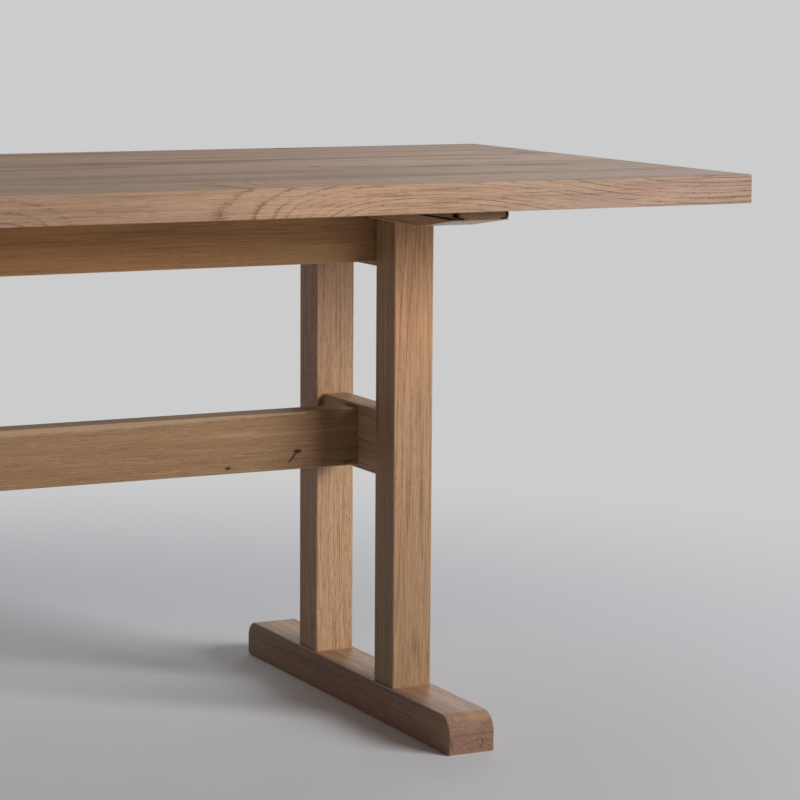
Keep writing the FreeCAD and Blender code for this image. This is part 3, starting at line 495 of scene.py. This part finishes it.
def dress_top():
    """The boards of the top, from the front one with its arch to the rear one."""
    board_low, board_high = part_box("tabletop_board_1")

    def on_top(x, y):
        return (x * MM, y * MM, board_high[2])

    def on_front(x, z):
        return (x * MM, board_low[1], z * MM)

    oak("tabletop_board_1", "X", (16.0, -58.0), ring=3.3, seed=1.0, wander=1.0,
        light=(190, 150, 120), dark=(124, 87, 64), figure=1.0,
        arch={"crown": 0.488, "length": 0.280, "height": 12.9, "stretch": 1.6, "level": 90.6,
              "lean": 34.0, "base": 46.0},
        calm=(0.140, 0.105, 0.9),
        patches=[(-0.06, 0.42, (220, 220, 220)), (0.92, 0.50, (241, 250, 265))],
        pale=[(on_top(-80, -281), on_top(340, -281), 3.5, 0.45)],
        swells=[(on_front(-45, 708), 33, 11.2)],
        streaks=[(on_top(136, -283), on_top(150, -283), 3.0, 0.8)])

    # The other boards: the pith, the width of a ring, the tone and the dark streaks.
    light, dark = (188, 150, 120), (134, 99, 76)
    boards = [
        ((12.0, -70.0), 3.4, 0.97, [
            (on_top(40, -240), on_top(330, -250), 9, 0.25),
            (on_top(420, -190), on_top(640, -200), 8, 0.3)]),
        ((-20.0, 60.0), 2.8, 0.93, [
            (on_top(500, -40), on_top(634, -76), 8, 0.6),
            (on_top(634, -76), on_top(753, -89), 9, 0.8),
            (on_top(753, -89), on_top(905, -114), 9, 0.7),
            (on_top(10, -150), on_top(280, -160), 10, 0.3)]),
        ((8.0, -90.0), 3.1, 0.96, [
            (on_top(736, 52), on_top(901, 31), 9, 0.6),
            (on_top(60, 30), on_top(330, 40), 10, 0.35),
            (on_top(216, 50), on_top(300, 46), 9, 0.5)]),
        ((30.0, 75.0), 2.6, 0.95, [
            (on_top(232, 130), on_top(285, 110), 10, 0.6),
            (on_top(250, 84), on_top(520, 92), 10, 0.35),
            (on_top(938, 164), on_top(985, 160), 8, 0.75)]),
        ((-14.0, -64.0), 3.3, 0.96, [
            (on_top(330, 190), on_top(560, 200), 10, 0.35),
            (on_top(880, 190), on_top(1000, 182), 10, 0.4)]),
        ((-6.0, 82.0), 3.0, 0.92, [
            (on_top(645, 372), on_top(685, 366), 9, 0.85),
            (on_top(150, 330), on_top(420, 345), 12, 0.4)]),
    ]
    knots_by_board = {4: [(on_top(526, -36), 6)]}
    for number, (pith, ring, tone, streaks) in enumerate(boards, start=2):
        oak(f"tabletop_board_{number}", "X", pith, ring=ring, seed=float(number),
            light=shade(light, tone), dark=shade(dark, tone), banding=2.1, streaks=streaks,
            knots=knots_by_board.get(number, ()),
            patches=[(-0.10, 0.50, (234, 234, 234))])


def dress_rails():
    """The stretcher between the trestles, and the two rails under the top."""
    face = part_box("lower_stretcher")[0][1]

    def on_stretcher(x, z):
        return (x * MM, face, z * MM)

    oak("lower_stretcher", "X", (6.0, 150.0), ring=2.4, seed=8.0, light=(152, 118, 80),
        dark=(108, 78, 50), flecks=0.5, pores=0.35,
        knots=[(on_stretcher(404, 350), 2.2), (on_stretcher(508, 367), 3.0)],
        streaks=[(on_stretcher(493, 350), on_stretcher(510, 369), 2.2, 0.9),
                 (on_stretcher(400, 346), on_stretcher(406, 352), 1.4, 0.8),
                 (on_stretcher(576, 347), on_stretcher(592, 349), 3.0, 0.5)],
        # The pale streak is a painted highlight along the top arris.
        pale=[(on_stretcher(-400, 416), on_stretcher(520, 420), 6.0, 0.22)])
    golden = {"light": (184, 136, 84), "dark": (134, 92, 52), "pores": 0.2, "figure": 0.45,
              "banding": 0.7}
    oak("front_upper_rail", "X", (90.0, 60.0), ring=2.6, seed=9.0,
        # The second patch is painted shade at the rail's end next to the leg.
        patches=[(-0.20, 0.75, (264, 258, 250)), (0.60, 0.12, (232, 235, 237))], **golden)
    oak("rear_upper_rail", "X", (-70.0, 80.0), ring=2.8, seed=10.0, **golden)


def dress_trestle(side, seed):
    """The feet, legs, cross rails and bearers of one trestle."""
    sole_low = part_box(f"{side}_foot_sole")[0]
    leg_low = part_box(f"{side}_front_leg")[0]

    def on_end(across, up):
        return (sole_low[0] + across * MM, sole_low[1], up * MM)

    def on_leg(across, up):
        return (leg_low[0], across * MM, up * MM)

    # sides paints shade on the feet's faces either side of the grain.
    foot = {"light": (190, 149, 120), "dark": (126, 92, 70), "dullness": 0.44,
            "sides": (216, 213, 211), "banding": 0.8}
    oak(f"{side}_foot_sole", "Y", (10.0, -50.0), ring=2.8, seed=seed + 1,
        streaks=[(on_end(48, 21), on_end(51, 12), 1.3, 0.8),
                 (on_end(50, 11), on_end(44, 7), 1.3, 0.7),
                 (on_end(40, 17), on_end(44, 21), 1.1, 0.6),
                 (on_end(1, 26), on_end(6, 3), 2.4, 0.45)], **foot)
    oak(f"{side}_foot_cap", "Y", (-14.0, 60.0), ring=2.6, seed=seed + 2,
        streaks=[(on_end(-8, 26.3), on_end(75, 26.3), 0.8, 0.6)], **foot)
    oak(f"{side}_front_leg", "Z", (4.0, 22.0), ring=4.2, seed=seed + 3, wander=5.0,
        slope=(0.012, 0.016), light=(182, 144, 106), dark=(130, 94, 64), figure=0.6,
        # The patches paint shade low on the leg and paint light near its top; sides paints shade
        # with a cool cast on the faces either side.
        patches=[(0.05, 0.36, (238, 238, 238)), (0.62, 0.22, (270, 262, 252))],
        sides=(242, 250, 264),
        streaks=[(on_leg(-112, 700), on_leg(-118, 655), 3.0, 0.7)])
    oak(f"{side}_rear_leg", "Z", (95.0, 60.0), ring=2.2, seed=seed + 4, light=(198, 157, 121),
        # sides paints shade with a cool cast on the faces either side.
        pores=0.6, sides=(244, 250, 264))
    oak(f"{side}_lower_cross_rail", "Y", (120.0, 30.0), ring=2.6, seed=seed + 5,
        light=(192, 158, 124), dark=(137, 103, 76))
    oak(f"{side}_upper_cross_rail", "Y", (60.0, 90.0), ring=2.6, seed=seed + 6)
    oak(f"{side}_top_bearer", "Y", (20.0, 70.0), ring=2.8, seed=seed + 7,
        light=(207, 164, 127), dark=(143, 103, 74), dullness=0.34)
    oak(f"{side}_slide_batten", "Y", (-30.0, 40.0), ring=2.4, seed=seed + 8,
        light=(218, 175, 136), dark=(150, 108, 76))


# ---------------------------------------------------------------- metal and fittings

def metal(name, first, second, roughness, metallic, painted_wall_reflection=None):
    """A metal finish with clouds in its colour and sheen and a fine surface.

    An extra colour, when given, is a painted reflection of the wood on flat faces along X.
    """
    material, r = new_material(name)
    where = r.node("ShaderNodeTexCoord").outputs
    cloud = r.noise(r.scaled(where["Object"], 55.0, 55.0, 55.0), detail=3.0)
    grit = r.noise(r.scaled(where["Object"], 1400.0, 1400.0, 1400.0), detail=1.0)
    scuff = r.noise(r.scaled(where["Object"], 900.0, 60.0, 500.0), detail=2.0)
    colour = r.mix(r.between(cloud, 0.35, 0.65), first, second)
    if painted_wall_reflection:
        # Painted reflection of the wood: patches of the flat faces that look along X take its
        # colour.
        face_x, _, _ = r.split(where["Normal"])
        flat = r.between(r.math("ABSOLUTE", face_x), 0.93, 0.995)
        patchy = r.math("ADD", cloud, r.centred(scuff, 0.2))
        reflection_share = r.between(patchy, 0.2, 0.7, start=0.7, end=1.0)
        colour = r.mix(r.product(flat, reflection_share), colour, painted_wall_reflection)
    r.cover({
        "Base Color": colour,
        "Roughness": r.total(roughness, r.centred(cloud, 0.10), r.centred(scuff, 0.08)),
        "Normal": r.bumped(r.total(grit, scuff), strength=0.4, reach=0.03 * MM),
        "Metallic": metallic,
        "IOR": 1.5,
        "Specular IOR Level": 0.3,
    })
    return material


def solids(node):
    """The middle of each separate solid of a node, and its length along X, Y and Z."""
    mesh = bmesh.new()
    mesh.from_mesh(NODES[node].data)
    bmesh.ops.remove_doubles(mesh, verts=mesh.verts, dist=0.001 * MM)
    waiting = set(mesh.verts)
    found = []
    while waiting:
        reached = [waiting.pop()]
        for vertex in reached:
            for edge in vertex.link_edges:
                other = edge.other_vert(vertex)
                if other in waiting:
                    waiting.discard(other)
                    reached.append(other)
        low = Vector(min(vertex.co[axis] for vertex in reached) for axis in range(3))
        high = Vector(max(vertex.co[axis] for vertex in reached) for axis in range(3))
        found.append(((low + high) / 2, high - low))
    mesh.free()
    return sorted(found, key=lambda solid: tuple(round(value, 5) for value in solid[0]))


def make_active(piece):
    bpy.ops.object.select_all(action="DESELECT")
    bpy.context.view_layer.objects.active = piece
    piece.select_set(True)


def apply_place():
    bpy.ops.object.transform_apply(location=True, rotation=True, scale=True)


def cylinder(name, radius, low, high, sides=48):
    """A cylinder along Z, to be shaped further. Sizes of the fittings are in mm."""
    bpy.ops.object.select_all(action="DESELECT")
    bpy.ops.mesh.primitive_cylinder_add(
        vertices=sides, radius=radius * MM, depth=(high - low) * MM,
        location=(0, 0, (low + high) / 2 * MM))
    apply_place()
    piece = bpy.context.object
    piece.name = name
    return piece


def pick_faces(piece, side):
    """In edit mode, select only the flat faces at the top (side 1) or the bottom (side -1)."""
    bpy.ops.mesh.select_all(action="DESELECT")
    mesh = bmesh.from_edit_mesh(piece.data)
    reach = max(side * face.calc_center_median().z for face in mesh.faces)
    for face in mesh.faces:
        at_end = side * face.calc_center_median().z > reach - 0.01 * MM
        face.select_set(at_end and side * face.normal.z > 0.99)
    bmesh.update_edit_mesh(piece.data)


# How wide a shank's tip is, as a share of the shank.
TIP_WIDTH = 0.6


def add_shank(piece, head_radius, radius, length, tip):
    """Draw a shank out of the underside of a head, with a narrower tip."""
    bpy.ops.object.mode_set(mode="EDIT")
    bpy.ops.mesh.select_mode(type="FACE")
    pick_faces(piece, -1)
    bpy.ops.mesh.inset(thickness=(head_radius - radius) * MM)
    for step in (length - tip, tip):
        bpy.ops.mesh.extrude_region_move(TRANSFORM_OT_translate={"value": (0, 0, -step * MM)})
    bpy.ops.transform.resize(value=(TIP_WIDTH, TIP_WIDTH, 1.0))
    bpy.ops.object.mode_set(mode="OBJECT")


def cut_away(piece, cutter):
    make_active(piece)
    cutting = piece.modifiers.new("cut", "BOOLEAN")
    cutting.operation = "DIFFERENCE"
    cutting.solver = "EXACT"
    cutting.object = cutter
    bpy.ops.object.modifier_apply(modifier="cut")
    bpy.data.objects.remove(cutter, do_unlink=True)


def ease(piece, width):
    """Round every sharp edge and finish the shading."""
    make_active(piece)
    easing = piece.modifiers.new("ease", "BEVEL")
    easing.width = width * MM
    easing.segments = 2
    easing.limit_method = "ANGLE"
    easing.angle_limit = math.radians(35)
    bpy.ops.object.modifier_apply(modifier="ease")
    bpy.ops.object.shade_smooth_by_angle(angle=math.radians(40))


def socket_screw(name, head_radius, head_height, radius, length, key, key_depth, tip, easing):
    """A screw with its head above Z = 0, and in the head a hexagon socket, key across flats."""
    screw = cylinder(name, head_radius, 0.0, head_height)
    add_shank(screw, head_radius, radius, length, tip)
    floor, above = head_height - key_depth, head_height + 1.0
    cut_away(screw, cylinder("key", key / math.sqrt(3), floor, above, sides=6))
    ease(screw, easing)
    return screw


def barrel_nut():
    """A cross dowel with a threaded hole along X and a screwdriver slot in its upper end."""
    nut = cylinder("nut", radius=6.0, low=-13.0, high=13.0)
    bore = cylinder("bore", radius=4.1, low=-8.0, high=8.0, sides=32)
    bore.data.transform(Matrix.Rotation(math.pi / 2, 4, "Y"))
    cut_away(nut, bore)
    slot_length, slot_width, slot_height, slot_middle = 14, 1.4, 2.2, 12.4
    bpy.ops.object.select_all(action="DESELECT")
    bpy.ops.mesh.primitive_cube_add(
        size=1.0, location=(0, 0, slot_middle * MM),
        scale=(slot_length * MM, slot_width * MM, slot_height * MM))
    apply_place()
    cut_away(nut, bpy.context.object)
    ease(nut, width=0.4)
    return nut


def fluted_dowel():
    """A dowel pin with grooves along it, which let the glue out, and eased ends."""
    columns, columns_to_a_groove = 48, 3
    # The bottom of a groove and the eased end, as shares of the radius.
    grooved, eased = 0.94, 0.78
    dowel = cylinder("dowel", radius=4.0, low=-24.0, high=24.0, sides=columns)
    bpy.ops.object.mode_set(mode="EDIT")
    bpy.ops.mesh.select_mode(type="VERT")
    bpy.ops.mesh.select_all(action="DESELECT")
    mesh = bmesh.from_edit_mesh(dowel.data)
    for vertex in mesh.verts:
        column = round(math.atan2(vertex.co.y, vertex.co.x) / math.tau * columns)
        vertex.select_set(column % columns_to_a_groove == 0)
    bmesh.update_edit_mesh(dowel.data)
    bpy.ops.transform.resize(value=(grooved, grooved, 1.0))
    bpy.ops.mesh.select_mode(type="FACE")
    for side in (1, -1):
        pick_faces(dowel, side)
        bpy.ops.mesh.extrude_region_move(TRANSFORM_OT_translate={"value": (0, 0, 0)})
        bpy.ops.transform.resize(value=(eased, eased, 1.0))
    bpy.ops.object.mode_set(mode="OBJECT")
    bpy.ops.object.shade_smooth_by_angle(angle=math.radians(30))
    return dowel


def fit(pattern, node, turn_of):
    """Copy a pattern onto each solid of a node, and let the copies stand for the node."""
    reach = [corner[2] for corner in pattern.bound_box]
    centre = Vector((0.0, 0.0, (min(reach) + max(reach)) / 2))
    copies = []
    for place, _ in solids(node):
        copy = bpy.data.objects.new(f"{node}_fitted", pattern.data.copy())
        bpy.context.scene.collection.objects.link(copy)
        turn = turn_of(place)
        copy.data.transform(Matrix.Translation(place - turn @ centre) @ turn)
        copies.append(copy)
    bpy.ops.object.select_all(action="DESELECT")
    for copy in copies:
        copy.select_set(True)
    bpy.context.view_layer.objects.active = copies[0]
    bpy.ops.object.join()
    piece = bpy.context.object
    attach(piece, "root")
    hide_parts(node)
    return piece


def turned(degrees, axis):
    return Matrix.Rotation(math.radians(degrees), 4, axis)


def upside_down(place):
    return turned(180, "X")


def outer_end_first(place):
    """Barrel nuts lie across the rails, with their slots away from the middle of the table."""
    return turned(90 if place.y > 20 * MM else -90, "X")


def add_fittings():
    """Metal finishes, and the fittings that hold the table together."""
    # The channel's side walls carry a painted reflection of the wood.
    steel = metal("black_steel", srgb(30, 27, 25), srgb(40, 35, 31), roughness=0.42,
                  metallic=0.0, painted_wall_reflection=srgb(166, 122, 84))
    black = metal("black_oxide", srgb(38, 36, 35), srgb(54, 50, 47), roughness=0.38,
                  metallic=0.75)
    zinc = metal("zinc_plate", srgb(176, 178, 176), srgb(196, 192, 178), roughness=0.34,
                 metallic=1.0)
    bolt = socket_screw("bolt", head_radius=9.0, head_height=2.5, radius=4.0, length=76.0,
                        key=5.0, key_depth=2.2, tip=1.6, easing=0.35)
    lock_head = 6.0
    lock_length = solids("right_locking_screws")[0][1].z / MM - lock_head
    lock = socket_screw("lock", head_radius=5.0, head_height=lock_head, radius=3.0,
                        length=lock_length, key=5.0, key_depth=3.2, tip=1.2, easing=0.4)
    wood_screw = socket_screw("wood_screw", head_radius=5.5, head_height=3.2, radius=2.5,
                              length=27.0, key=3.0, key_depth=1.8, tip=6.0, easing=0.9)
    nut = barrel_nut()
    dowel = fluted_dowel()
    for side, outwards in (("left", -90), ("right", 90)):
        def heads_outwards(place):
            return turned(outwards, "Y")

        dress(NODES[f"{side}_steel_channel"], steel)
        dress(fit(bolt, f"{side}_connector_bolts", heads_outwards), black)
        dress(fit(lock, f"{side}_locking_screws", upside_down), black)
        dress(fit(wood_screw, f"{side}_channel_screws", upside_down), zinc)
        dress(fit(nut, f"{side}_barrel_nuts", outer_end_first), zinc)
        pins = fit(dowel, f"{side}_alignment_dowels", lambda place: turned(90, "Y"))
        oak(f"{side}_alignment_dowels", "X", (30.0, 20.0), ring=2.0, seed=70.0,
            light=(214, 182, 142), dark=(190, 152, 114), wander=2.0, figure=0.25, pores=0.1,
            flecks=1.6, piece=pins)
    for pattern in (bolt, lock, wood_screw, nut, dowel):
        bpy.data.objects.remove(pattern, do_unlink=True)


# ---------------------------------------------------------------- floor, light, camera

BACKGROUND = srgb(204, 204, 205)
FLOOR = srgb(236, 239, 244)
FLOOR_WIDTH = 60.0
FADE_START = 0.9
FADE_END = 2.3


def add_floor():
    """A pale floor that fades into the backdrop's colour well away from the table."""
    bpy.ops.mesh.primitive_plane_add(size=FLOOR_WIDTH, location=(0, 0, 0))
    floor = bpy.context.object
    floor.name = "floor"
    material, r = new_material("floor")
    surface = r.node("ShaderNodeBsdfPrincipled")
    surface.inputs["Base Color"].default_value = FLOOR
    surface.inputs["Roughness"].default_value = 0.75
    backdrop = r.node("ShaderNodeEmission")
    backdrop.inputs["Color"].default_value = BACKGROUND
    away = r.vector("LENGTH", r.node("ShaderNodeTexCoord").outputs["Object"])
    ray = r.node("ShaderNodeLightPath").outputs
    seen = r.math("MAXIMUM", ray["Is Camera Ray"], ray["Is Glossy Ray"])
    fade = r.product(r.between(away, FADE_START, FADE_END), seen)
    mix = r.node("ShaderNodeMixShader")
    r.fill(mix, (fade, surface.outputs[0], backdrop.outputs[0]))
    r.feed(r.node("ShaderNodeOutputMaterial").inputs["Surface"], mix.outputs[0])
    dress(floor, material)


def add_world(ambient, seen):
    """A faint light from all round, and the colour that the camera sees behind the floor."""
    world = bpy.data.worlds.new("studio")
    bpy.context.scene.world = world
    world.use_nodes = True
    world.node_tree.nodes.clear()
    r = Recipe(world.node_tree)
    light = r.node("ShaderNodeBackground")
    light.inputs["Color"].default_value = WHITE
    light.inputs["Strength"].default_value = ambient
    backdrop = r.node("ShaderNodeBackground")
    backdrop.inputs["Color"].default_value = seen
    ray = r.node("ShaderNodeLightPath").outputs
    mirrored = r.math("MAXIMUM", ray["Is Glossy Ray"], ray["Is Transmission Ray"])
    straight = r.math("MAXIMUM", ray["Is Camera Ray"], mirrored)
    mix = r.node("ShaderNodeMixShader")
    r.fill(mix, (straight, light.outputs[0], backdrop.outputs[0]))
    r.feed(r.node("ShaderNodeOutputWorld").inputs["Surface"], mix.outputs[0])


def add_lamp(name, place, target, size, power):
    data = bpy.data.lights.new(name, "AREA")
    data.shape = "RECTANGLE"
    data.size, data.size_y = size
    data.energy = power
    lamp = bpy.data.objects.new(name, data)
    bpy.context.scene.collection.objects.link(lamp)
    lamp.location = place
    lamp.rotation_euler = (Vector(target) - Vector(place)).to_track_quat("-Z", "Y").to_euler()


def add_camera(place, turn, tilt, roll, lens):
    """A camera that looks along +Y, then turned to the side, tilted down and rolled."""
    data = bpy.data.cameras.new("camera")
    data.sensor_width = 36.0
    data.lens = lens
    camera = bpy.data.objects.new("camera", data)
    bpy.context.scene.collection.objects.link(camera)
    camera.location = place
    aim = Matrix.Rotation(turn, 4, "Z")
    aim = aim @ Matrix.Rotation(math.pi / 2 - tilt, 4, "X")
    aim = aim @ Matrix.Rotation(roll, 4, "Z")
    camera.rotation_euler = aim.to_euler()
    bpy.context.scene.camera = camera


dress_top()
dress_rails()
dress_trestle("right", seed=20.0)
dress_trestle("left", seed=40.0)
add_fittings()
add_floor()
add_world(ambient=0.06, seen=BACKGROUND)
add_lamp("key", (5.2, -6.9, 3.5), target=(0.3, -0.1, 0.5), size=(4.8, 3.4), power=700)
add_lamp("back", (6.0, 6.5, 3.2), target=(0.2, 0.0, 0.4), size=(4.0, 1.8), power=60)
add_lamp("overhead", (0.4, 2.6, 4.8), target=(0.3, 0.4, 0.4), size=(4.0, 3.0), power=30)
add_camera((-1.1536, -3.6569, 1.0118), turn=-0.4639, tilt=0.1423, roll=0.0063, lens=131.89)
bpy.context.scene.view_settings.view_transform = "Standard"
